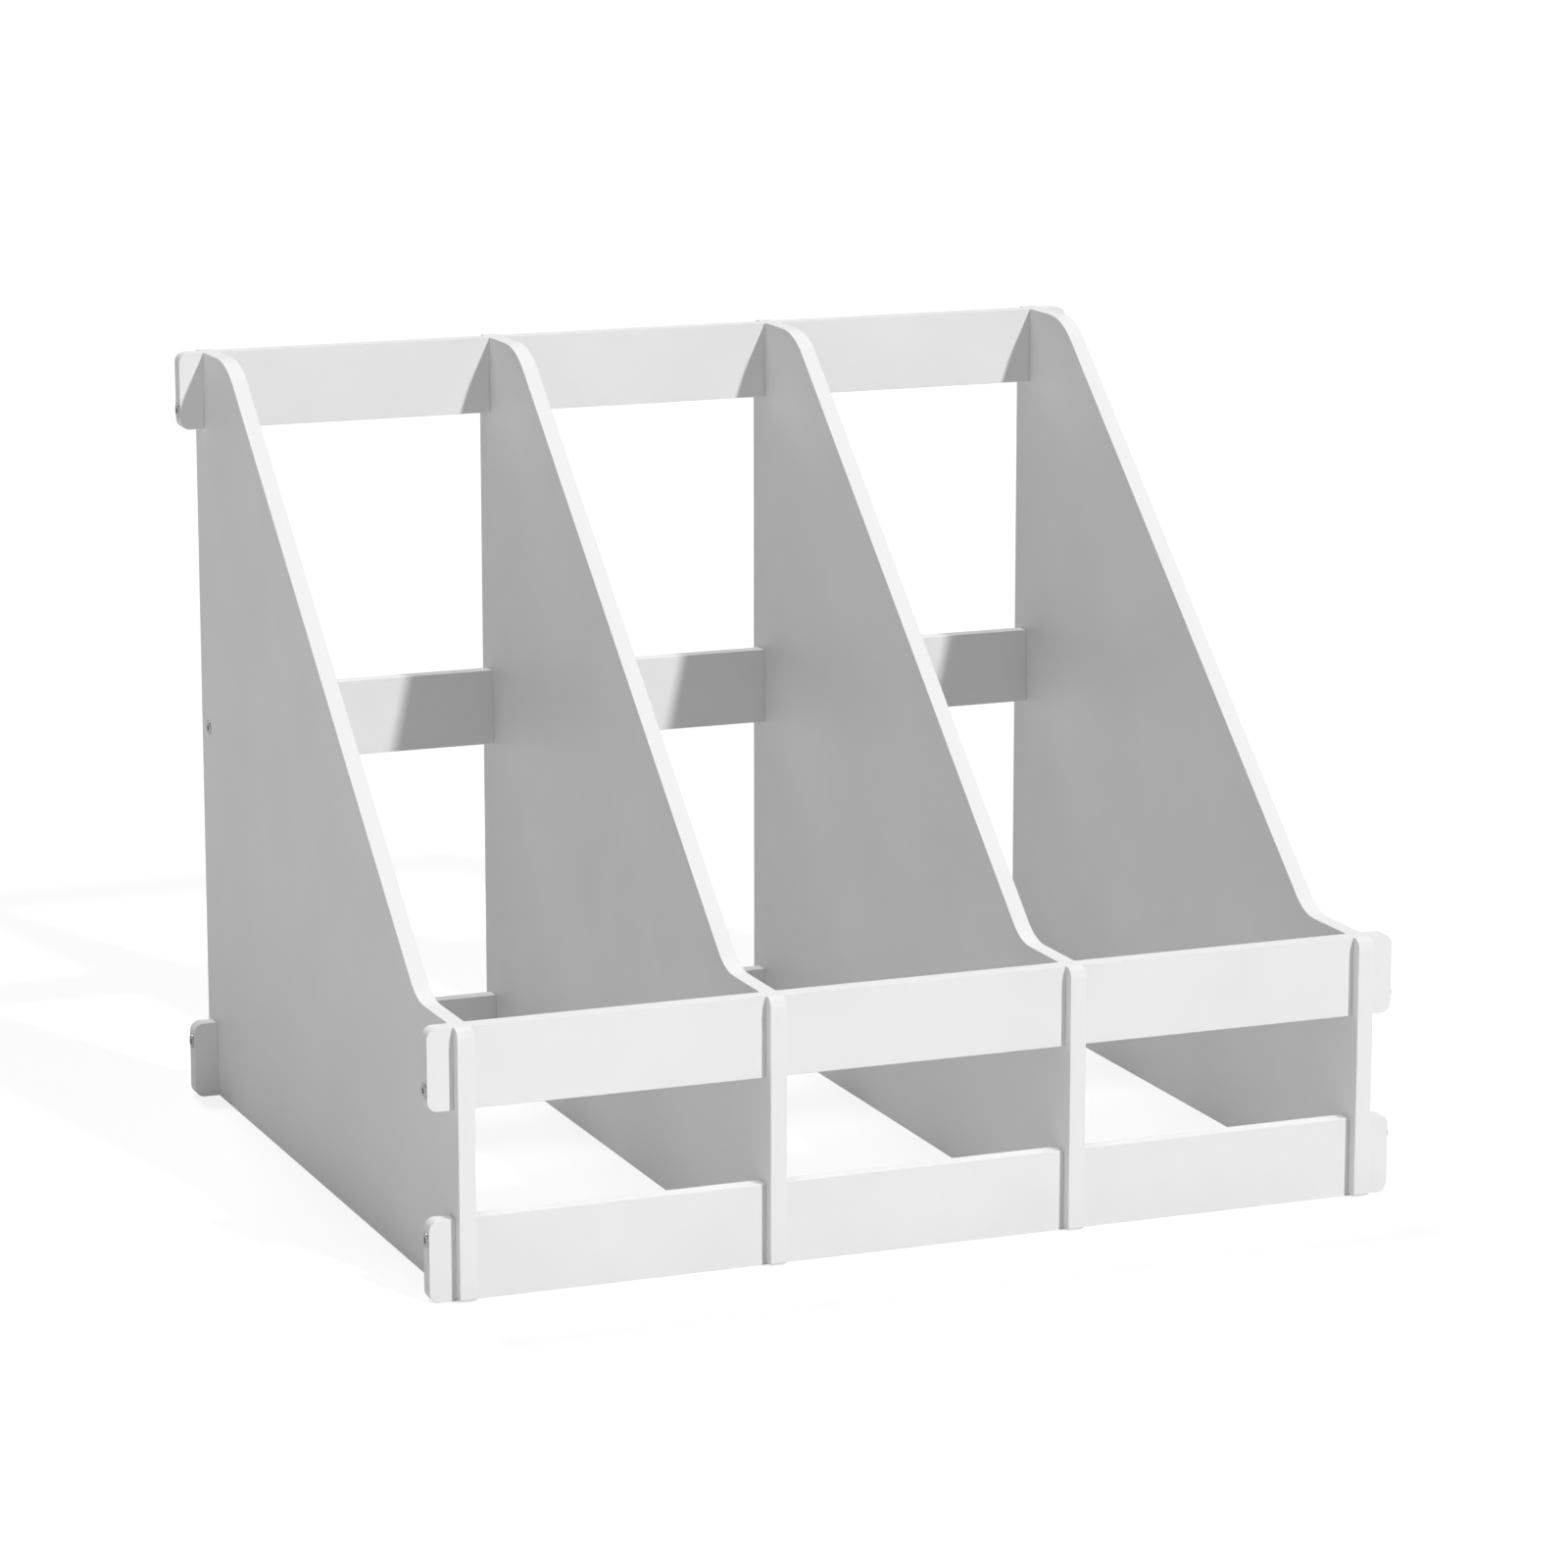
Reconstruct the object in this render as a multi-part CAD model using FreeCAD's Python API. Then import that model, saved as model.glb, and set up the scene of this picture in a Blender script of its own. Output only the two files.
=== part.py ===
import FreeCAD, Part
import math
import os

# Desk file holder for upright lever-arch files: four profiled uprights and five flat rails, all cut
# from one thickness of white board, crossed and slotted into each other and pinned by ten screws.
# Frame: origin on the resting plane under the middle of the holder, +X along the rails to the right,
# +Y to the back (the low mouths of the bays face -Y), +Z up. Millimetres.

# Driving dimensions.
BOARD = 6.4            # thickness of every board
PITCH = 120.0          # from one upright to the next
BAYS = 3
DEPTH = 319.0          # front nose to rear nose of an upright
HEIGHT = 305.2         # top of the rear part
FRONT_TOP = 101.8      # top of the low front part and of the front upper rail
RAIL_HEIGHT = 30.7
NOSE_FRONT = 4.6       # how far an upright stands in front of the front rails
NOSE_REAR = 6.5        # and behind the rear rails
EAR = 10.0             # how far a rail runs past the side panels
GAP = 0.1              # play on each side of a slot

# Upright outline.
SLOPE_FOOT = 45.9      # where the slope would meet the low front top, from the front nose
SLOPE_ANGLE = 41.65    # degrees above the horizontal
FOOT_RADIUS = 22.0     # hollow curve at the foot of the slope
CREST_RADIUS = 31.5    # round curve at its top
NOSE_RADIUS = 4.0      # upper corner of a nose
NOSE_LIFT = 0.8        # a nose stops this far above the resting plane
TOE_RADIUS = 1.0       # lower corner of a nose

# Rail outline.
EAR_RADIUS = 4.0

# Screws: countersunk, hexagon socket, standing a little proud.
HEAD_RADIUS = 2.85
HEAD_PROUD = 0.45
HEAD_ROUNDING = 0.15
SHANK_RADIUS = 1.5
CLEARANCE_RADIUS = 1.6
SCREW_LENGTH = 31.5    # surface of the board to the tip
TIP_LENGTH = 2.5
HOLE_SPARE = 1.0       # how far a hole runs past the tip
SOCKET_FLATS = 2.0
SOCKET_DEPTH = 1.5

# Worked out from those.
SLOT_DEPTH = RAIL_HEIGHT / 2
SLOT_HALF = BOARD / 2 + GAP
SPAN = BAYS * PITCH
FRONT = -DEPTH / 2
REAR = DEPTH / 2
FRONT_RAIL = FRONT + NOSE_FRONT + BOARD / 2
REAR_RAIL = REAR - NOSE_REAR - BOARD / 2
RAIL_END = SPAN / 2 + BOARD / 2 + EAR
MIDDLE_RAIL_END = SPAN / 2 - BOARD / 2
MIDDLE_Z = HEIGHT / 2
UPRIGHT_X = [PITCH * i - SPAN / 2 for i in range(BAYS + 1)]
SINK_DEPTH = HEAD_RADIUS - SHANK_RADIUS      # a 90 degree countersink

# Each rail: middle of its thickness, lower edge, and which edge its slots open from.
RAILS = {
    "front_lower_rail": (FRONT_RAIL, 0.0, "top"),
    "front_upper_rail": (FRONT_RAIL, FRONT_TOP - RAIL_HEIGHT, "bottom"),
    "rear_lower_rail": (REAR_RAIL, 0.0, "top"),
    "rear_upper_rail": (REAR_RAIL, HEIGHT - RAIL_HEIGHT, "bottom"),
}


def unit(a, b):
    length = math.hypot(b[0] - a[0], b[1] - a[1])
    return ((b[0] - a[0]) / length, (b[1] - a[1]) / length)


def rounding(before, at, after, radius):
    """Start, middle and end of the arc of a radius that rounds the corner at a point."""
    back, ahead = unit(at, before), unit(at, after)
    half = math.acos(back[0] * ahead[0] + back[1] * ahead[1]) / 2
    reach = radius / math.tan(half)
    inward = unit((0, 0), (back[0] + ahead[0], back[1] + ahead[1]))
    depth = radius / math.sin(half) - radius
    start = (at[0] + back[0] * reach, at[1] + back[1] * reach)
    middle = (at[0] + inward[0] * depth, at[1] + inward[1] * depth)
    end = (at[0] + ahead[0] * reach, at[1] + ahead[1] * reach)
    return start, middle, end


def outline(stations, place):
    """Closed face from stations (a, b) or (a, b, radius), where the radius rounds the corner."""
    points = [(s[0], s[1]) for s in stations]
    count = len(points)
    corners = []
    for i, station in enumerate(stations):
        if len(station) == 3:
            corners.append(rounding(points[i - 1], points[i], points[(i + 1) % count], station[2]))
        else:
            corners.append((station, None, station))
    edges = []
    for i in range(count):
        edges.append(Part.LineSegment(place(*corners[i - 1][2]), place(*corners[i][0])).toShape())
        if corners[i][1]:
            edges.append(Part.Arc(*[place(*p) for p in corners[i]]).toShape())
    return Part.Face(Part.Wire(edges))


def hole(x_from, x_to, y, z, radius):
    """Round cutter along X."""
    low = min(x_from, x_to)
    return Part.makeCylinder(radius, abs(x_to - x_from), FreeCAD.Vector(low, y, z), FreeCAD.Vector(1, 0, 0))


def countersink(x, y, z, side):
    """Conical cutter whose wide end is the board's outer surface at x, with side -1 left or +1 right."""
    inward = FreeCAD.Vector(-side, 0, 0)
    return Part.makeCone(HEAD_RADIUS, SHANK_RADIUS, SINK_DEPTH, FreeCAD.Vector(x, y, z), inward)


def upright(x, outer_side):
    """One upright, centred on x. outer_side is -1 or +1 for a side panel and 0 for a divider."""
    front_slot = (FRONT_RAIL - SLOT_HALF, FRONT_RAIL + SLOT_HALF)
    rear_slot = (REAR_RAIL - SLOT_HALF, REAR_RAIL + SLOT_HALF)
    crest = FRONT + SLOPE_FOOT + (HEIGHT - FRONT_TOP) / math.tan(math.radians(SLOPE_ANGLE))
    stations = [
        # underside, front to back, with the two slots that drop over the lower rails
        (FRONT, NOSE_LIFT, TOE_RADIUS),
        (front_slot[0], NOSE_LIFT),
        (front_slot[0], SLOT_DEPTH),
        (front_slot[1], SLOT_DEPTH),
        (front_slot[1], 0.0),
        (rear_slot[0], 0.0),
        (rear_slot[0], SLOT_DEPTH),
        (rear_slot[1], SLOT_DEPTH),
        (rear_slot[1], NOSE_LIFT),
        (REAR, NOSE_LIFT, TOE_RADIUS),
        # back edge, rear nose and the slot that holds the rear upper rail
        (REAR, HEIGHT, NOSE_RADIUS),
        (rear_slot[1], HEIGHT),
        (rear_slot[1], HEIGHT - SLOT_DEPTH),
        (rear_slot[0], HEIGHT - SLOT_DEPTH),
        (rear_slot[0], HEIGHT),
        # down the slope to the low front
        (crest, HEIGHT, CREST_RADIUS),
        (FRONT + SLOPE_FOOT, FRONT_TOP, FOOT_RADIUS),
        # slot that holds the front upper rail, and the front nose
        (front_slot[1], FRONT_TOP),
        (front_slot[1], FRONT_TOP - SLOT_DEPTH),
        (front_slot[0], FRONT_TOP - SLOT_DEPTH),
        (front_slot[0], FRONT_TOP),
        (FRONT, FRONT_TOP, NOSE_RADIUS),
    ]
    left_face = x - BOARD / 2
    face = outline(stations, lambda y, z: FreeCAD.Vector(left_face, y, z))
    board = face.extrude(FreeCAD.Vector(BOARD, 0, 0))
    if outer_side:
        outer_face = x + outer_side * BOARD / 2
        for y, z in screw_places():
            board = board.cut(hole(x - BOARD, x + BOARD, y, z, CLEARANCE_RADIUS))
        board = board.cut(countersink(outer_face, REAR_RAIL, MIDDLE_Z, outer_side))
    else:
        window = Part.makeBox(2 * BOARD, 2 * SLOT_HALF, RAIL_HEIGHT + 2 * GAP,
                              FreeCAD.Vector(x - BOARD, rear_slot[0], MIDDLE_Z - RAIL_HEIGHT / 2 - GAP))
        board = board.cut(window)
    return board


def slot_level(bottom, opening):
    """Height of the middle of the crossing, where the screw goes through."""
    if opening == "top":
        return bottom + RAIL_HEIGHT - SLOT_DEPTH / 2
    return bottom + SLOT_DEPTH / 2


def screw_places():
    """(y, z) of the five screws on each side: one for each eared rail and one for the middle rail."""
    places = [(y, slot_level(bottom, opening)) for y, bottom, opening in RAILS.values()]
    places.append((REAR_RAIL, MIDDLE_Z))
    return places


def slots(open_edge, bed):
    """Stations of a rail's slots from left to right, open at one height and closed at the other."""
    stations = []
    for x in UPRIGHT_X:
        stations += [
            (x - SLOT_HALF, open_edge),
            (x - SLOT_HALF, bed),
            (x + SLOT_HALF, bed),
            (x + SLOT_HALF, open_edge),
        ]
    return stations


def eared_rail(y, bottom, opening):
    """A rail that crosses all uprights and ends in a rounded ear beyond each side panel."""
    top = bottom + RAIL_HEIGHT
    bed = bottom + SLOT_DEPTH
    slots_below = slots(bottom, bed) if opening == "bottom" else []
    slots_above = slots(top, bed)[::-1] if opening == "top" else []
    stations = [(-RAIL_END, bottom, EAR_RADIUS)] + slots_below + [(RAIL_END, bottom, EAR_RADIUS)]
    stations += [(RAIL_END, top, EAR_RADIUS)] + slots_above + [(-RAIL_END, top, EAR_RADIUS)]
    face = outline(stations, lambda x, z: FreeCAD.Vector(x, y + BOARD / 2, z))
    board = face.extrude(FreeCAD.Vector(0, -BOARD, 0))
    z = slot_level(bottom, opening)
    for side in (-1, 1):
        end = side * RAIL_END
        inner_wall = side * (SPAN / 2 - SLOT_HALF)
        board = board.cut(countersink(end, y, z, side))
        board = board.cut(hole(end, side * SPAN / 2, y, z, CLEARANCE_RADIUS))
        board = board.cut(hole(inner_wall, side * (RAIL_END - SCREW_LENGTH - HOLE_SPARE), y, z, SHANK_RADIUS))
    return board


def middle_rail():
    """The plain rail that runs through the dividers and butts against both side panels."""
    board = Part.makeBox(2 * MIDDLE_RAIL_END, BOARD, RAIL_HEIGHT,
                         FreeCAD.Vector(-MIDDLE_RAIL_END, REAR_RAIL - BOARD / 2, MIDDLE_Z - RAIL_HEIGHT / 2))
    for side in (-1, 1):
        bottom_of_hole = side * (SPAN / 2 + BOARD / 2 - SCREW_LENGTH - HOLE_SPARE)
        board = board.cut(hole(side * MIDDLE_RAIL_END, bottom_of_hole, REAR_RAIL, MIDDLE_Z, SHANK_RADIUS))
    return board


def screw(x, y, z, side):
    """A screw driven inwards from the outer surface at x, with side -1 left or +1 right."""
    top = -HEAD_PROUD
    profile = [
        (top, 0.0),
        (top, HEAD_RADIUS - HEAD_ROUNDING),
        (top + HEAD_ROUNDING, HEAD_RADIUS),
        (0.0, HEAD_RADIUS),
        (SINK_DEPTH, SHANK_RADIUS),
        (SCREW_LENGTH - TIP_LENGTH, SHANK_RADIUS),
        (SCREW_LENGTH, 0.0),
        (top, 0.0),
    ]
    wire = Part.makePolygon([FreeCAD.Vector(a, r, 0) for a, r in profile])
    body = Part.Face(wire).revolve(FreeCAD.Vector(0, 0, 0), FreeCAD.Vector(1, 0, 0), 360)
    corner_radius = SOCKET_FLATS / math.sqrt(3)
    angles = [math.radians(60 * i) for i in range(7)]
    hexagon = Part.makePolygon([
        FreeCAD.Vector(top, corner_radius * math.cos(t), corner_radius * math.sin(t)) for t in angles])
    socket = Part.Face(hexagon).extrude(FreeCAD.Vector(SOCKET_DEPTH, 0, 0))
    body = body.cut(socket)
    if side > 0:
        body.rotate(FreeCAD.Vector(0, 0, 0), FreeCAD.Vector(0, 0, 1), 180)
    body.translate(FreeCAD.Vector(x, y, z))
    return body


def build():
    nodes = {}
    names = ["left_side_panel", "left_divider", "right_divider", "right_side_panel"]
    outer_sides = [-1, 0, 0, 1]
    for name, x, outer_side in zip(names, UPRIGHT_X, outer_sides):
        nodes[name] = upright(x, outer_side)
    for name, (y, bottom, opening) in RAILS.items():
        nodes[name] = eared_rail(y, bottom, opening)
    nodes["rear_middle_rail"] = middle_rail()
    for side, side_name in ((-1, "left"), (1, "right")):
        for rail_name, (y, bottom, opening) in RAILS.items():
            name = side_name + "_" + rail_name.replace("_rail", "_screw")
            nodes[name] = screw(side * RAIL_END, y, slot_level(bottom, opening), side)
        outer_face = side * (SPAN / 2 + BOARD / 2)
        nodes[side_name + "_rear_middle_screw"] = screw(outer_face, REAR_RAIL, MIDDLE_Z, side)
    return nodes


os.makedirs("parts", exist_ok=True)
for node_name, shape in build().items():
    shape = shape.removeSplitter()
    box = shape.BoundBox
    print("%-28s solids %d valid %s volume %10.1f  x %.2f..%.2f y %.2f..%.2f z %.2f..%.2f" % (
        node_name, len(shape.Solids), shape.isValid(), shape.Volume,
        box.XMin, box.XMax, box.YMin, box.YMax, box.ZMin, box.ZMax))
    shape.exportStep(os.path.join("parts", node_name + ".step"))
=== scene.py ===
import math
import bpy
import numpy as np
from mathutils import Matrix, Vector
from mathutils.geometry import delaunay_2d_cdt


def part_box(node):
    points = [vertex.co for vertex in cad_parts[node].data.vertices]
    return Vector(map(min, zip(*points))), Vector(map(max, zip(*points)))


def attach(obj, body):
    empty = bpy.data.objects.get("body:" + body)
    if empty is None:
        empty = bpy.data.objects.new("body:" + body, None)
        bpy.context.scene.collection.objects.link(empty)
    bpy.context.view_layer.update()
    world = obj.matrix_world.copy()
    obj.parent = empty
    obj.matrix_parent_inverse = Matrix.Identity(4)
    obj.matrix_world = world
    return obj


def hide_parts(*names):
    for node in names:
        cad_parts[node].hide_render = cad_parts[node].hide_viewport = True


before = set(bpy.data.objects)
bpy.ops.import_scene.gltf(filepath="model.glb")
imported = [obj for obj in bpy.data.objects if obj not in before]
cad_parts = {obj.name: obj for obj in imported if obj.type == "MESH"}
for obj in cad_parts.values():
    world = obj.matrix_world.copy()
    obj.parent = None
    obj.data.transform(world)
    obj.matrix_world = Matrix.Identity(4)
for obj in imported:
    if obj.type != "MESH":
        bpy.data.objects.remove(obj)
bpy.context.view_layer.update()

# A desk file holder of white foam board: four uprights of one outline crossed by five flat rails,
# slotted into each other and pinned by ten countersunk screws. Metres; every place comes from the frame.

MM = 0.001
X, Y, Z = 0, 1, 2
BODY = "root"

UPRIGHTS = ("left_side_panel", "left_divider", "right_divider", "right_side_panel")
LOWER_RAILS = ("front_lower_rail", "rear_lower_rail")
UPPER_RAILS = ("front_upper_rail", "rear_upper_rail")
MIDDLE_RAIL = "rear_middle_rail"

# Cut edges: a board's arrises are broken by a small round, and a router leaves its own radius in corners.
EDGE_ROUND = 0.22 * MM
EDGE_STEPS = 4
CORNER = 0.7 * MM            # outer corners that look square
MOUTH_CORNER = 0.4 * MM      # where a slot opens
SLOT_CORNER = 0.5 * MM       # at its closed end
SLOT_PLAY = 0.02 * MM        # on each side of a board in its slot
MERGE_WITHIN = 1e-9
ARC_STEP = math.radians(8)

# Upright outline.
SLOPE_FOOT = 45.9 * MM       # where the slope would meet the low front top, from the front nose
SLOPE_ANGLE = math.radians(41.65)
FOOT_RADIUS = 22.0 * MM
CREST_RADIUS = 31.5 * MM
NOSE_RADIUS = 4.0 * MM
NOSE_LIFT = 0.8 * MM         # a nose stops this far above the floor
TOE_RADIUS = 1.0 * MM

# Rail outline.
EAR_RADIUS = 4.0 * MM

# Screw, with depths from the top of the head.
SOCKET_FLATS = 2.0 * MM
SOCKET_DEPTH = 1.5 * MM
SOCKET_POINT = 0.3 * MM      # drill point below the socket
SOCKET_CHAMFER = 0.12 * MM
HEAD_ROUND = 0.25 * MM
CORE_RADIUS = 1.15 * MM
THREAD_RADIUS = 1.5 * MM
THREAD_PITCH = 1.2 * MM
THREAD_START = 2.2 * MM      # below the board's surface
SINK_DEPTH = 1.35 * MM       # of the countersink
TIP_LENGTH = 2.5 * MM
SCREW_SIDES = 36
ROWS_PER_PITCH = 6
HEAD_STEPS = 5               # rows round the head's shoulder
SHARP_ANGLE = math.radians(35)

# Surface patterns, each the size of one of its features.
CLOUD = 45 * MM              # slow change of the skin's white
GLOSS_PATCH = 6 * MM
ORANGE_PEEL = 1.5 * MM
PORE = 0.5 * MM              # larger than the foam's real cells of about 0.1 mm, so that they show
CUTTER_MARK = 1.4 * MM       # along a routed edge
BOARD_RELIEF = 0.06 * MM
PLATING_BLOTCH = 1.1 * MM
TURNED_RING = 0.28 * MM
RING_RELIEF = 0.02 * MM
FLOOR_CLOUD = 330 * MM
ONE_WAVE = math.tau / 20     # Scale at which the bands of a Wave texture repeat every unit

# Floor, light and camera.
FLOOR_REACH = 30.0           # from its middle to each side
FLOOR_GLOW = 0.80            # emission of the light table as the camera sees it
FLOOR_SPILL = 0.08           # its emission as the holder gets it
SURROUND_SEEN = 1.0          # the studio wall as the camera sees it
SURROUND_LIGHT = 0.15        # and as the holder gets it
# Each light's azimuth and elevation in degrees, strength, and angular size in degrees.
KEY = (20.5, 36.5, 2.22, 2.5)
LEFT_FILL = (-58, 18, 0.38, 60)
TOP_BACK = (180, 56, 1.6, 14)
SUN_DISTANCE = 3.0           # only where its marker stands: a distant light shines alike from anywhere
CAMERA_PLACE = (-0.79815, -1.99630, 0.60901)
CAMERA_TURN = math.radians(21.947)     # from +Y towards +X
CAMERA_TILT = math.radians(-12.191)    # above the horizontal
LENS = 129.11


# ---------------------------------------------------------------- materials

def srgb(code):
    """Linear colour, with alpha 1, of an sRGB hex value such as "#ECECEC"."""
    values = [int(code[i:i + 2], 16) / 255 for i in (1, 3, 5)]
    linear = [v / 12.92 if v <= 0.04045 else ((v + 0.055) / 1.055) ** 2.4 for v in values]
    return (*linear, 1.0)


def add(tree, kind, settings=None, **links):
    """Adds a node. settings are its properties or socket values, links the outputs that feed its sockets.

    A socket whose name is used twice on one node is given as i and its number.
    """
    node = tree.nodes.new("ShaderNode" + kind)
    sockets = {"i%d" % number: socket for number, socket in enumerate(node.inputs)}
    for name, value in (settings or {}).items():
        if name in node.bl_rna.properties:
            setattr(node, name, value)
        else:
            (sockets.get(name) or node.inputs[name]).default_value = value
    for name, source in links.items():
        tree.links.new(source, sockets.get(name) or node.inputs[name])
    return node


def material(name):
    """An empty node material and its Principled shader, wired to the output."""
    made = bpy.data.materials.new(name)
    made.use_nodes = True
    tree = made.node_tree
    tree.nodes.clear()
    shader = add(tree, "BsdfPrincipled")
    add(tree, "OutputMaterial", Surface=shader.outputs["BSDF"])
    return made, tree, shader


def shades(tree, factor, low, high, start=0.0, end=1.0):
    """The colour between two hex values as the factor goes from start to end."""
    ramp = add(tree, "ValToRGB", Fac=factor)
    first, last = ramp.color_ramp.elements
    first.position, first.color = start, srgb(low)
    last.position, last.color = end, srgb(high)
    return ramp.outputs["Color"]


def foam_board():
    """White expanded-PVC foam board: a calendered satin skin and routed edges.

    The skin is smooth with a faint orange peel about 1.5 mm across and a slow cloudiness from the
    extruder. A routed edge shows the closed cells of the foam as pin-prick pores, here drawn 0.5 mm
    across, larger than life so that they show, with painted shade darkening their middles, and the
    cutter's marks, 1.4 mm apart along the edge.
    """
    made, tree, shader = material("white_pvc_foam_board")
    place = add(tree, "TexCoord").outputs["Object"]
    along = add(tree, "UVMap", {"uv_map": "edge"}).outputs["UV"]
    cut = add(tree, "Attribute", {"attribute_name": "cut"}).outputs["Fac"]

    cloud = add(tree, "TexNoise", {"Scale": 1 / CLOUD, "Detail": 3.0, "Roughness": 0.55}, Vector=place)
    skin = shades(tree, cloud.outputs["Fac"], "#E8E8E8", "#ECECEC", 0.3, 0.7)
    pores = add(tree, "TexVoronoi", {"Scale": 1 / PORE}, Vector=place)
    depth = add(tree, "MapRange", {"From Max": 0.45}, Value=pores.outputs["Distance"]).outputs["Result"]
    # painted shade: the cut edge drawn darker towards the middle of each pore
    pore_shaded_edge = shades(tree, depth, "#E0E0DF", "#ECECEC", 0.0, 0.5)
    colour = add(tree, "Mix", {"data_type": "RGBA"}, Factor=cut, i6=skin, i7=pore_shaded_edge)
    tree.links.new(colour.outputs[2], shader.inputs["Base Color"])

    grain = add(tree, "TexNoise", {"Scale": 1 / GLOSS_PATCH, "Detail": 2.0}, Vector=place)
    satin = add(tree, "MapRange", {"To Min": 0.42, "To Max": 0.52}, Value=grain.outputs["Fac"])
    gloss = add(tree, "Mix", {"data_type": "FLOAT", "B": 0.66}, Factor=cut, i2=satin.outputs["Result"])
    tree.links.new(gloss.outputs[0], shader.inputs["Roughness"])

    peel = add(tree, "TexNoise", {"Scale": 1 / ORANGE_PEEL, "Detail": 2.0}, Vector=place)
    spaced = add(tree, "Mapping", {"Scale": (1 / CUTTER_MARK, 1.0, 1.0)}, Vector=along)
    marks = add(tree, "TexWave", {"Scale": ONE_WAVE, "Distortion": 0.6, "Detail": 1.0},
                Vector=spaced.outputs["Vector"])
    routed = add(tree, "Mix", {"data_type": "FLOAT", "Factor": 0.35}, i2=depth, i3=marks.outputs["Fac"])
    height = add(tree, "Mix", {"data_type": "FLOAT"}, Factor=cut,
                 i2=peel.outputs["Fac"], i3=routed.outputs[0])
    bump = add(tree, "Bump", {"Strength": 0.35, "Distance": BOARD_RELIEF}, Height=height.outputs[0])
    tree.links.new(bump.outputs["Normal"], shader.inputs["Normal"])
    shader.inputs["IOR"].default_value = 1.53
    shader.inputs["Specular IOR Level"].default_value = 0.3
    return made


def zinc_screw():
    """Zinc-plated steel: turned rings on the head, a dulled plating, and painted shade in the socket.

    The socket is told by the UV map turning, whose second value is the distance from the screw's axis.
    """
    made, tree, shader = material("zinc_plated_steel")
    place = add(tree, "TexCoord").outputs["Object"]
    turning = add(tree, "UVMap", {"uv_map": "turning"}).outputs["UV"]
    blotch = add(tree, "TexNoise", {"Scale": 1 / PLATING_BLOTCH, "Detail": 3.0}, Vector=place).outputs["Fac"]
    plating = shades(tree, blotch, "#B0B1B1", "#C8C9C8")
    radius = add(tree, "SeparateXYZ", Vector=turning).outputs["Y"]
    rim = {"From Min": SOCKET_FLATS / 2, "From Max": SOCKET_FLATS / 2 + 2 * SOCKET_CHAMFER}
    socket_shade_fade = add(tree, "MapRange", rim, Value=radius).outputs["Result"]
    # painted shade: the socket's inside drawn near black, fading to the plating over its rim
    colour = add(tree, "Mix", {"data_type": "RGBA", "i6": srgb("#3A3A39")}, Factor=socket_shade_fade, i7=plating)
    tree.links.new(colour.outputs[2], shader.inputs["Base Color"])
    dull = add(tree, "MapRange", {"To Min": 0.26, "To Max": 0.42}, Value=blotch)
    tree.links.new(dull.outputs["Result"], shader.inputs["Roughness"])
    spaced = add(tree, "Mapping", {"Scale": (1.0, 1 / TURNED_RING, 1.0)}, Vector=turning)
    rings = add(tree, "TexWave", {"Scale": ONE_WAVE, "bands_direction": "Y", "Distortion": 0.3},
                Vector=spaced.outputs["Vector"])
    bump = add(tree, "Bump", {"Strength": 0.3, "Distance": RING_RELIEF}, Height=rings.outputs["Fac"])
    tree.links.new(bump.outputs["Normal"], shader.inputs["Normal"])
    shader.inputs["Metallic"].default_value = 1.0
    return made


def light_table():
    """Opal acrylic of a light table: matt and white, glowing from below so that shadows on it stay pale.

    Only the camera sees the glow. What bounces onto the holder comes from a second, paler surface that
    hardly glows and takes shadows in full, so the insides of the bays keep their depth.
    """
    made, tree, shader = material("opal_acrylic_light_table")
    place = add(tree, "TexCoord").outputs["Object"]
    cloud = add(tree, "TexNoise", {"Scale": 1 / FLOOR_CLOUD, "Detail": 2.0}, Vector=place).outputs["Fac"]
    tree.links.new(shades(tree, cloud, "#868686", "#888888"), shader.inputs["Base Color"])
    shader.inputs["Emission Color"].default_value = srgb("#FFFFFF")
    shader.inputs["Emission Strength"].default_value = FLOOR_GLOW
    shader.inputs["Roughness"].default_value = 0.9
    shader.inputs["Specular IOR Level"].default_value = 0.2
    surface = add(tree, "BsdfPrincipled", {"Roughness": 0.9, "Specular IOR Level": 0.2})
    tree.links.new(shades(tree, cloud, "#CCCCCC", "#CECECE"), surface.inputs["Base Color"])
    surface.inputs["Emission Color"].default_value = srgb("#FFFFFF")
    surface.inputs["Emission Strength"].default_value = FLOOR_SPILL
    seen = add(tree, "LightPath").outputs["Is Camera Ray"]
    both = add(tree, "MixShader", Fac=seen, i1=surface.outputs["BSDF"], i2=shader.outputs["BSDF"])
    tree.links.new(both.outputs["Shader"], tree.nodes["Material Output"].inputs["Surface"])
    return made


# ---------------------------------------------------------------- outlines

def corner_arc(before, at, after, radius):
    """Points on the arc of a radius that is tangent to both sides of the corner at a point.

    Its centre lies on the corner's bisector, radius / sin(half angle) from the corner. The points turn
    from one side's normal to the other's in equal angles.
    """
    back = np.subtract(before, at) / np.hypot(*np.subtract(before, at))
    ahead = np.subtract(after, at) / np.hypot(*np.subtract(after, at))
    half = math.acos(np.clip(back @ ahead, -1, 1)) / 2
    bisector = (back + ahead) / np.hypot(*(back + ahead))
    centre = np.add(at, bisector * radius / math.sin(half))
    first = np.add(at, back * radius / math.tan(half)) - centre
    turn = (math.pi - 2 * half) * np.sign(back[1] * ahead[0] - back[0] * ahead[1])
    count = max(3, int(abs(turn) / ARC_STEP) + 1)
    angles = np.linspace(0, turn, count + 1)[:, None]
    return centre + np.cos(angles) * first + np.sin(angles) * np.array([-first[1], first[0]])


def outline(stations):
    """Closed anticlockwise outline, as an N x 2 array, from stations (a, b, radius) with rounded corners."""
    count = len(stations)
    arcs = [corner_arc(stations[i - 1][:2], stations[i][:2], stations[(i + 1) % count][:2], stations[i][2])
            for i in range(count)]
    return np.concatenate(arcs)


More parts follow.
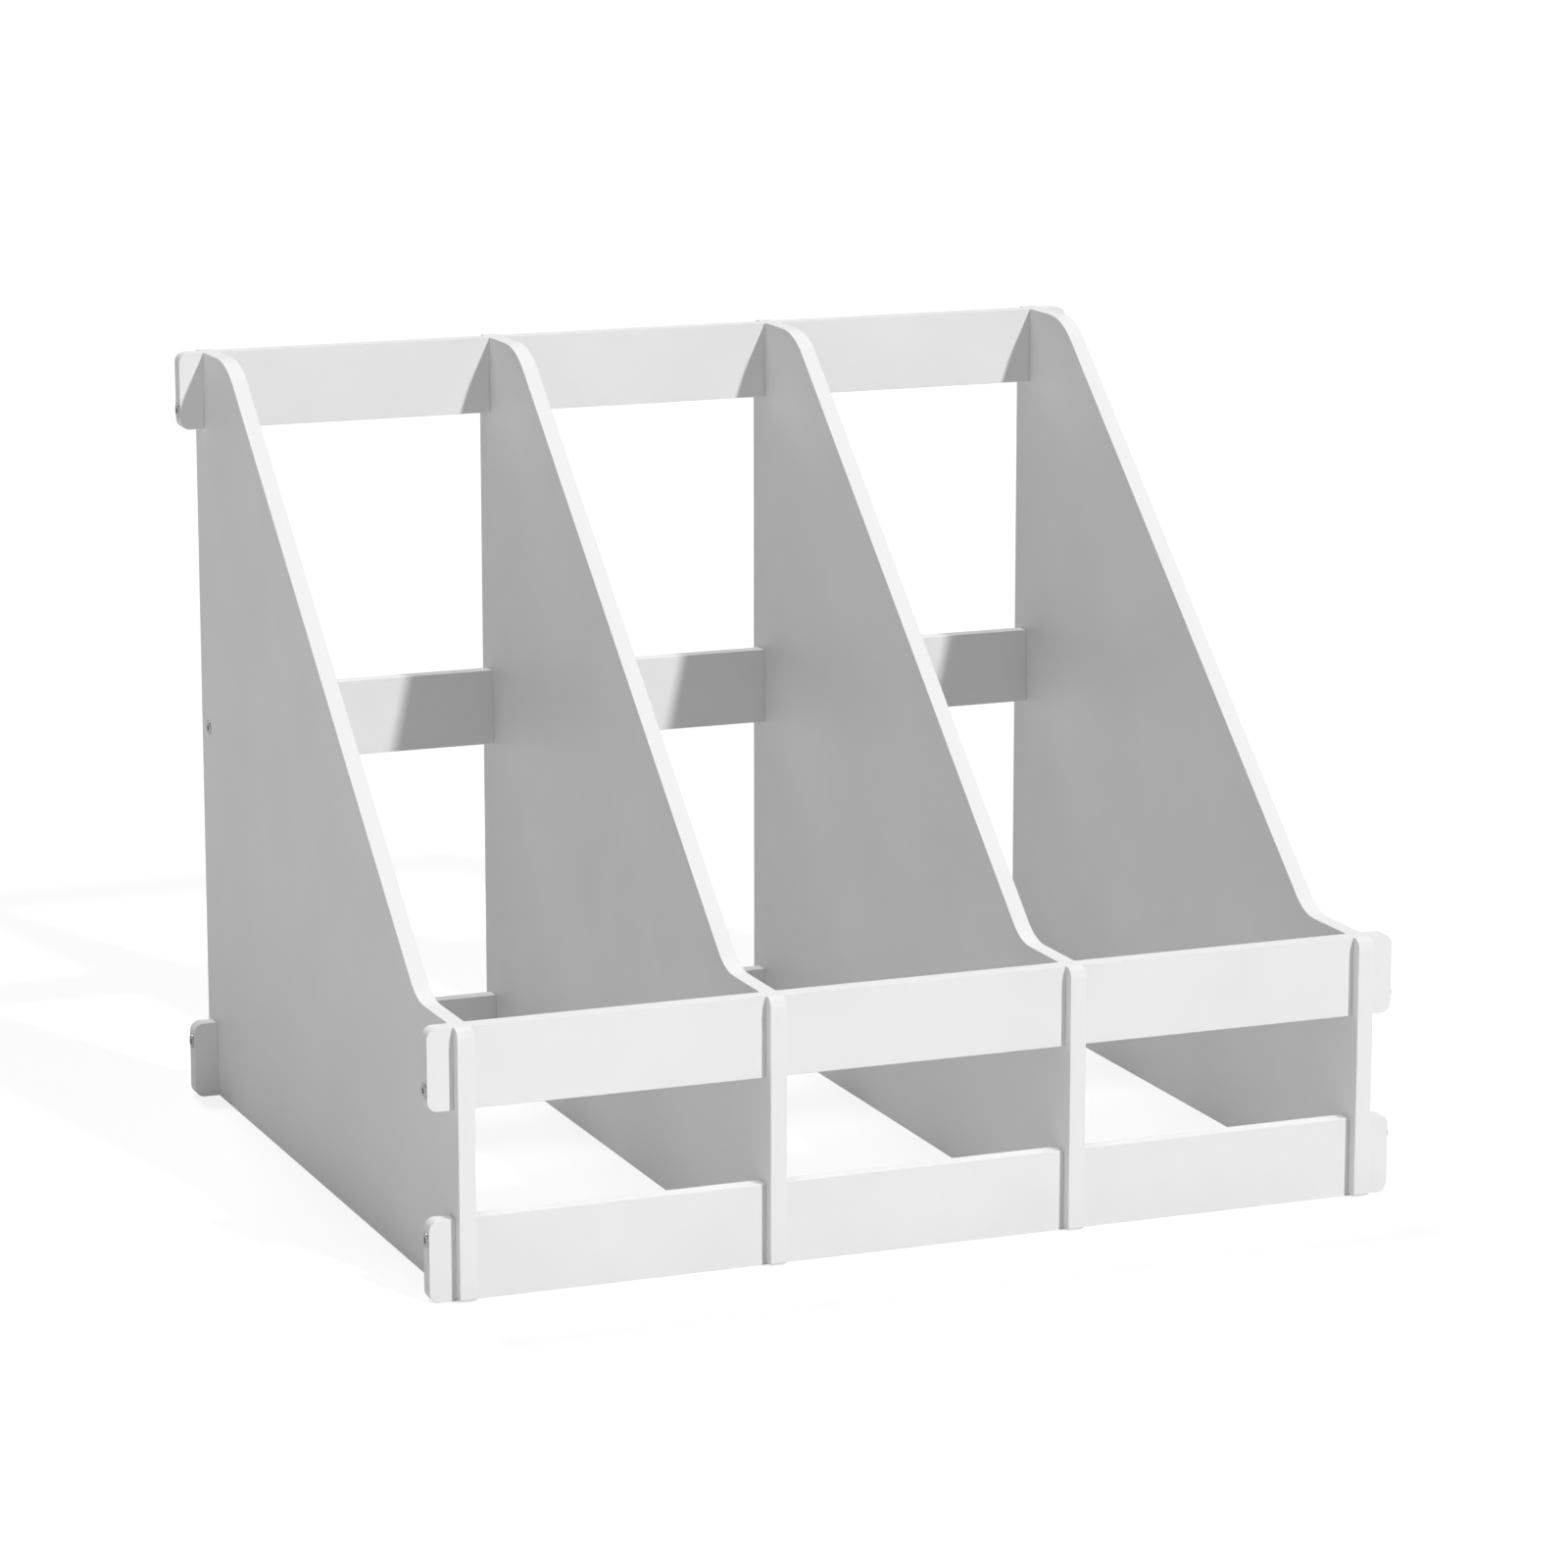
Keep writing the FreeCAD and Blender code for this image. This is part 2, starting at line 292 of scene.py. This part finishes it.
def outward(points):
    """Unit normals out of the board at each point of a loop: the sum of its two sides' normals.

    The longer side counts for more. Out is to the right of the way the loop runs.
    """
    side = np.roll(points, -1, axis=0) - points
    normal = np.stack([side[:, 1], -side[:, 0]], axis=1)
    both = normal + np.roll(normal, 1, axis=0)
    return both / np.linalg.norm(both, axis=1, keepdims=True)


def upright_outline():
    """The outline that all four uprights share, as (y, z)."""
    low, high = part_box(UPRIGHTS[0])
    front, rear, floor, top = low[Y], high[Y], low[Z], high[Z]
    front_low, front_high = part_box("front_upper_rail")
    rear_low, rear_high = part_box("rear_upper_rail")
    front_top = front_high[Z]
    half_rail = (front_high[Z] - front_low[Z]) / 2
    front_in, front_out = front_low[Y] - SLOT_PLAY, front_high[Y] + SLOT_PLAY
    rear_in, rear_out = rear_low[Y] - SLOT_PLAY, rear_high[Y] + SLOT_PLAY
    bed = floor + half_rail
    crest = front + SLOPE_FOOT + (top - front_top) / math.tan(SLOPE_ANGLE)
    return outline([
        # underside, front to back, with the two slots that drop over the lower rails
        (front, floor + NOSE_LIFT, TOE_RADIUS),
        (front_in, floor + NOSE_LIFT, MOUTH_CORNER),
        (front_in, bed, SLOT_CORNER),
        (front_out, bed, SLOT_CORNER),
        (front_out, floor, MOUTH_CORNER),
        (rear_in, floor, MOUTH_CORNER),
        (rear_in, bed, SLOT_CORNER),
        (rear_out, bed, SLOT_CORNER),
        (rear_out, floor + NOSE_LIFT, MOUTH_CORNER),
        (rear, floor + NOSE_LIFT, TOE_RADIUS),
        # rear nose and the slot that holds the rear upper rail
        (rear, top, NOSE_RADIUS),
        (rear_out, top, MOUTH_CORNER),
        (rear_out, top - half_rail, SLOT_CORNER),
        (rear_in, top - half_rail, SLOT_CORNER),
        (rear_in, top, MOUTH_CORNER),
        # down the slope to the low front, its slot and the front nose
        (crest, top, CREST_RADIUS),
        (front + SLOPE_FOOT, front_top, FOOT_RADIUS),
        (front_out, front_top, MOUTH_CORNER),
        (front_out, front_top - half_rail, SLOT_CORNER),
        (front_in, front_top - half_rail, SLOT_CORNER),
        (front_in, front_top, MOUTH_CORNER),
        (front, front_top, NOSE_RADIUS),
    ])


def rail_window():
    """The closed slot in a divider for the middle rail, as (y, z): a hole, so it runs clockwise."""
    low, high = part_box(MIDDLE_RAIL)
    y0, y1 = low[Y] - SLOT_PLAY, high[Y] + SLOT_PLAY
    z0, z1 = low[Z] - SLOT_PLAY, high[Z] + SLOT_PLAY
    corners = [(y0, z0), (y1, z0), (y1, z1), (y0, z1)]
    return outline([(*corner, SLOT_CORNER) for corner in corners])[::-1]


def eared_rail_outline(name):
    """(x, z) outline of a rail with rounded ears: a lower rail's slots open upwards, an upper one's down."""
    low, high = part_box(name)
    bed = (low[Z] + high[Z]) / 2
    mouth = high[Z] if name in LOWER_RAILS else low[Z]
    slots = []
    for upright in UPRIGHTS:
        left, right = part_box(upright)[0][X] - SLOT_PLAY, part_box(upright)[1][X] + SLOT_PLAY
        slots += [(left, mouth, MOUTH_CORNER), (left, bed, SLOT_CORNER),
                  (right, bed, SLOT_CORNER), (right, mouth, MOUTH_CORNER)]
    above, below = (slots[::-1], []) if name in LOWER_RAILS else ([], slots)
    stations = [(low[X], low[Z], EAR_RADIUS)] + below + [(high[X], low[Z], EAR_RADIUS)]
    return outline(stations + [(high[X], high[Z], EAR_RADIUS)] + above + [(low[X], high[Z], EAR_RADIUS)])


def middle_rail_outline():
    """(x, z) outline of the plain rail between the side panels."""
    low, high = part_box(MIDDLE_RAIL)
    corners = [(low[X], low[Z]), (high[X], low[Z]), (high[X], high[Z]), (low[X], high[Z])]
    return outline([(*corner, CORNER) for corner in corners])


# ---------------------------------------------------------------- meshes

def new_piece(name, points, faces, uv_name, uvs, finish):
    """A smooth-shaded mesh object at the origin. faces are arrays of vertex numbers, uvs are per vertex."""
    mesh = bpy.data.meshes.new(name)
    mesh.from_pydata(points.tolist(), [], [face for group in faces for face in group.tolist()])
    mesh.polygons.foreach_set("use_smooth", np.ones(len(mesh.polygons), bool))
    corners = np.empty(len(mesh.loops), np.int32)
    mesh.loops.foreach_get("vertex_index", corners)
    mesh.uv_layers.new(name=uv_name).data.foreach_set("uv", uvs[corners].astype(np.float32).ravel())
    mesh.materials.append(finish)
    piece = bpy.data.objects.new(name, mesh)
    bpy.context.scene.collection.objects.link(piece)
    return piece


def grid_quads(rows, columns, first=0):
    """Quads of a grid of vertices whose columns close into rings, numbered row by row from first."""
    row, column = np.meshgrid(np.arange(rows - 1), np.arange(columns), indexing="ij")
    here = first + row * columns + column
    after = first + row * columns + (column + 1) % columns
    return np.stack([here, after, after + columns, here + columns], axis=2).reshape(-1, 4)


def edge_section(thickness):
    """Rings across a board's edge as rows (inset, depth, lean), from one face to the other.

    A quarter round of EDGE_ROUND leads from each face to the flat edge: at angle t it is set in by
    r * (1 - sin t) and is r * (1 - cos t) deep. lean is the angle from the face's normal to the edge's.
    """
    t = np.linspace(0, math.pi / 2, EDGE_STEPS + 1)
    near = np.stack([EDGE_ROUND * (1 - np.sin(t)), EDGE_ROUND * (1 - np.cos(t)), t], axis=1)
    far = near[::-1] * [1, -1, -1] + [0, thickness, math.pi]
    return np.concatenate([near, far])


def edge_grid(loop, section):
    """A board's cut edge as a grid of (ring, point of the loop), flattened to rows of nine values.

    With n the loop's normal, a ring is loop - inset * n at the section's depth, its shading normal is
    sin(lean) * n in the plane and -cos(lean) across it, and its cut value is sin(lean) squared. A row is
    a, b, depth; the normal's a, b, depth; the way along the loop and across the edge; cut.
    """
    inset, depth, lean = section.T[:, :, None]
    normal = outward(loop)[None]
    along = np.concatenate([[0], np.cumsum(np.linalg.norm(np.diff(loop, axis=0), axis=1))])
    across = np.concatenate([[0], np.cumsum(np.hypot(*np.diff(section[:, :2], axis=0).T))])
    place = loop[None] - normal * inset[..., None]
    leaning = normal * np.sin(lean)[..., None]
    columns = [place[..., 0], place[..., 1], depth, leaning[..., 0], leaning[..., 1], -np.cos(lean),
               along[None], across[:, None], np.sin(lean) ** 2]
    return np.stack(np.broadcast_arrays(*columns), axis=2).reshape(-1, len(columns))


def inside(points, loop):
    """Which points lie inside a closed loop: a ray to the right crosses its sides an odd number of times."""
    a, b = loop, np.roll(loop, -1, axis=0)
    px, py = points[:, 0, None], points[:, 1, None]
    straddles = (a[:, 1] > py) != (b[:, 1] > py)
    rise = np.where(b[:, 1] == a[:, 1], 1.0, b[:, 1] - a[:, 1])
    crossing = a[:, 0] + (py - a[:, 1]) * (b[:, 0] - a[:, 0]) / rise
    return (straddles & (px < crossing)).sum(axis=1) % 2 == 1


def filled(loops):
    """Anticlockwise triangles between the first loop and the holes in it, as indices of their points."""
    points = np.concatenate(loops)
    starts = np.cumsum([0] + [len(loop) for loop in loops[:-1]])
    numbers = [start + np.arange(len(loop)) for start, loop in zip(starts, loops)]
    sides = np.concatenate([np.stack([n, np.roll(n, -1)], axis=1) for n in numbers])
    flat = [Vector(point) for point in points.tolist()]
    vertices, _, triangles, origins, _, _ = delaunay_2d_cdt(flat, sides.tolist(), [], 0, MERGE_WITHIN)
    if len(vertices) != len(points):
        raise ValueError("an outline crosses itself")
    triangles = np.array([origin[0] for origin in origins])[np.array(triangles)]
    middles = points[triangles].mean(axis=1)
    triangles = triangles[sum(inside(middles, loop).astype(int) for loop in loops) == 1]
    a, b, c = points[triangles].transpose(1, 0, 2)
    clockwise = (b - a)[:, 0] * (c - a)[:, 1] < (b - a)[:, 1] * (c - a)[:, 0]
    triangles[clockwise] = triangles[clockwise][:, ::-1]
    return triangles


def board(name, loops, low, thickness, across, finish):
    """A board cut to loops of (a, b): the first is its outline, any others are holes, run clockwise.

    Each loop is carried across the thickness through edge_section, and both faces are filled between
    the end rings. across is the axis of the thickness, which starts at low. The attribute cut is 0 on
    the faces and 1 on the edges, and the UV map edge holds metres along and across the cut edge.
    """
    section = edge_section(thickness)
    rings = len(section)
    grids = [edge_grid(loop, section) for loop in loops]
    starts = np.cumsum([0] + [len(grid) for grid in grids[:-1]])
    rows = np.concatenate(grids)
    near = np.concatenate([start + np.arange(len(loop)) for start, loop in zip(starts, loops)])
    far = np.concatenate([start + len(grid) - len(loop) + np.arange(len(loop))
                          for start, grid, loop in zip(starts, grids, loops)])
    ends = np.cumsum([len(loop) for loop in loops])[:-1]
    triangles = filled(np.split(rows[near, :2], ends))
    faces = [grid_quads(rings, len(loop), start) for start, loop in zip(starts, loops)]
    faces += [near[triangles][:, ::-1], far[triangles]]
    if across == Y:
        faces = [group[:, ::-1] for group in faces]    # X, Z, Y is a left-handed order of axes
    order = [axis for axis in (X, Y, Z) if axis != across] + [across]
    points = np.empty((len(rows), 3))
    normals = np.empty((len(rows), 3))
    points[:, order] = rows[:, 0:3] + [0, 0, low]
    normals[:, order] = rows[:, 3:6]
    piece = new_piece(name, points, faces, "edge", rows[:, 6:8], finish)
    piece.data.normals_split_custom_set_from_vertices(normals.tolist())
    cut = piece.data.attributes.new("cut", "FLOAT", "POINT")
    cut.data.foreach_set("value", rows[:, 8].astype(np.float32))
    return piece


def screw_profile(length, proud, head_radius):
    """Four arrays with a value for each row, from the socket's point over the head to the tip.

    They are the depth, the radius, whether the row is in the socket, and how full the thread is.
    """
    wall = SOCKET_FLATS / 2
    t = np.linspace(0, math.pi / 2, HEAD_STEPS)
    shoulder = np.stack([HEAD_ROUND * (1 - np.cos(t)), head_radius - HEAD_ROUND * (1 - np.sin(t))], axis=1)
    socket = [[SOCKET_DEPTH + SOCKET_POINT, 0.0], [SOCKET_DEPTH, wall], [SOCKET_DEPTH / 2, wall],
              [SOCKET_CHAMFER, wall], [0.0, wall + SOCKET_CHAMFER]]
    cone = [[proud, head_radius], [proud + SINK_DEPTH, CORE_RADIUS]]
    start = proud + THREAD_START
    end = length - TIP_LENGTH
    turns = np.linspace(start, end, int((end - start) / THREAD_PITCH * ROWS_PER_PITCH))
    tip = np.linspace(end, length, 2 * ROWS_PER_PITCH)[1:]
    depth = np.concatenate([turns, tip])
    shank = np.stack([depth, np.full(len(depth), CORE_RADIUS)], axis=1)
    profile = np.concatenate([socket, shoulder, cone, shank])
    hexed = np.arange(len(profile)) < len(socket)
    threaded = np.clip((profile[:, 0] - start) / THREAD_PITCH, 0, 1)
    threaded[hexed] = 0.0
    return profile[:, 0], profile[:, 1], hexed, threaded


def screw(name, node, side, finish):
    """A countersunk socket screw, driven inwards along X from the left (side -1) or the right (+1).

    It is a surface of revolution on a grid of profile row and angle. In the socket the radius is
    divided by the cosine of the angle from the nearest flat, which makes a hexagon. The thread is a
    ridge on the core, cos(pi * phase) to the fourth power with phase = depth / pitch - angle / full turn,
    and everything shrinks evenly over the tip. Each end closes in one point.
    """
    low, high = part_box(node)
    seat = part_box("right_side_panel" if "middle" in node else "front_upper_rail")[1][X]
    outer = low[X] if side < 0 else high[X]
    length = high[X] - low[X]
    depth, profile, hexed, threaded = screw_profile(length, abs(outer) - seat, (high[Z] - low[Z]) / 2)
    angle = np.arange(SCREW_SIDES) * math.tau / SCREW_SIDES
    from_flat = (angle + math.pi / 6) % (math.pi / 3) - math.pi / 6
    radius = profile[:, None] * np.where(hexed[:, None], 1 / np.cos(from_flat), 1.0)
    phase = depth[:, None] / THREAD_PITCH - angle / math.tau
    radius = radius + np.cos(math.pi * phase) ** 4 * (THREAD_RADIUS - CORE_RADIUS) * threaded[:, None]
    radius = radius * np.clip((length - depth) / TIP_LENGTH, 0, 1)[:, None]
    grid = np.stack([
        np.broadcast_to((outer - side * depth)[:, None], radius.shape),
        (low[Y] + high[Y]) / 2 + radius * np.cos(angle),
        (low[Z] + high[Z]) / 2 + radius * np.sin(angle),
    ], axis=2)
    rows = len(depth) - 2
    points = np.concatenate([grid[1:-1].reshape(-1, 3), grid[0, :1], grid[-1, :1]])
    points[-2:, 1:] = (np.add(low, high) / 2)[1:]
    ring = np.arange(SCREW_SIDES)
    after = np.roll(ring, -1)
    last = (rows - 1) * SCREW_SIDES
    bottom, tip = np.full(SCREW_SIDES, rows * SCREW_SIDES), np.full(SCREW_SIDES, rows * SCREW_SIDES + 1)
    faces = [grid_quads(rows, SCREW_SIDES)[:, ::-1], np.stack([bottom, ring, after], axis=1),
             np.stack([last + after, last + ring, tip], axis=1)]
    if side < 0:
        faces = [group[:, ::-1] for group in faces]
    round_way = np.broadcast_to(angle * MM, (rows, SCREW_SIDES))
    uvs = np.concatenate([np.stack([round_way, radius[1:-1]], axis=2).reshape(-1, 2), np.zeros((2, 2))])
    piece = new_piece(name, points, faces, "turning", uvs, finish)
    piece.data.set_sharp_from_angle(angle=SHARP_ANGLE)
    return piece


# ---------------------------------------------------------------- the holder

def stands_for(piece, node):
    """Hangs a piece, built in the place of a node, on the holder's one body and hides the node."""
    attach(piece, BODY)
    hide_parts(node)


def build_holder():
    """The nine boards and the ten screws, each in the place of its node."""
    white = foam_board()
    steel = zinc_screw()
    shared = upright_outline()
    for node in UPRIGHTS:
        low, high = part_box(node)
        loops = [shared, rail_window()] if "divider" in node else [shared]
        stands_for(board(node + "_board", loops, low[X], high[X] - low[X], X, white), node)
    outlines = {node: eared_rail_outline(node) for node in LOWER_RAILS + UPPER_RAILS}
    outlines[MIDDLE_RAIL] = middle_rail_outline()
    for node, loop in outlines.items():
        low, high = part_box(node)
        stands_for(board(node + "_board", [loop], low[Y], high[Y] - low[Y], Y, white), node)
    for node in sorted(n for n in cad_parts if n.endswith("_screw")):
        side = -1 if node.startswith("left") else 1
        stands_for(screw(node + "_turned", node, side, steel), node)


# ---------------------------------------------------------------- floor, light and camera

def build_floor():
    """A pale floor on the resting plane, wide enough to fill every view."""
    mesh = bpy.data.meshes.new("floor")
    turns = [(-1, -1), (1, -1), (1, 1), (-1, 1)]
    corners = [(a * FLOOR_REACH, b * FLOOR_REACH, 0.0) for a, b in turns]
    mesh.from_pydata(corners, [], [(0, 1, 2, 3)])
    mesh.materials.append(light_table())
    floor = bpy.data.objects.new("floor", mesh)
    bpy.context.scene.collection.objects.link(floor)


def sun(name, azimuth, elevation, strength, softness):
    """A distant light: azimuth from the front towards +X, elevation above the floor, both in degrees."""
    a, e = math.radians(azimuth), math.radians(elevation)
    towards = Vector((math.sin(a) * math.cos(e), -math.cos(a) * math.cos(e), math.sin(e)))
    lamp = bpy.data.lights.new(name, "SUN")
    lamp.energy = strength
    lamp.angle = math.radians(softness)
    light = bpy.data.objects.new(name, lamp)
    light.rotation_mode = "QUATERNION"
    light.rotation_quaternion = towards.to_track_quat("Z", "Y")
    light.location = towards * SUN_DISTANCE
    bpy.context.scene.collection.objects.link(light)


def build_world():
    """A white studio wall behind everything in view, which lights the holder only dimly."""
    world = bpy.data.worlds.new("studio")
    world.use_nodes = True
    tree = world.node_tree
    seen = add(tree, "LightPath").outputs["Is Camera Ray"]
    strength = add(tree, "MapRange", {"To Min": SURROUND_LIGHT, "To Max": SURROUND_SEEN}, Value=seen)
    background = tree.nodes["Background"]
    background.inputs["Color"].default_value = srgb("#FFFFFF")
    tree.links.new(strength.outputs["Result"], background.inputs["Strength"])
    bpy.context.scene.world = world


def build_light():
    """A key from the front right, a broad light above and behind, and a wide weak fill from the left."""
    sun("key", *KEY)
    sun("left_fill", *LEFT_FILL)
    sun("top_back", *TOP_BACK)
    build_world()


def build_camera():
    """A long lens from the front left, a little above the holder."""
    data = bpy.data.cameras.new("camera")
    data.sensor_width = 36.0
    data.lens = LENS
    data.clip_end = 100.0
    camera = bpy.data.objects.new("camera", data)
    camera.location = CAMERA_PLACE
    camera.rotation_euler = (math.pi / 2 + CAMERA_TILT, 0.0, -CAMERA_TURN)
    bpy.context.scene.collection.objects.link(camera)
    bpy.context.scene.camera = camera


build_camera()
build_holder()
build_floor()
build_light()
bpy.context.scene.view_settings.view_transform = "Standard"
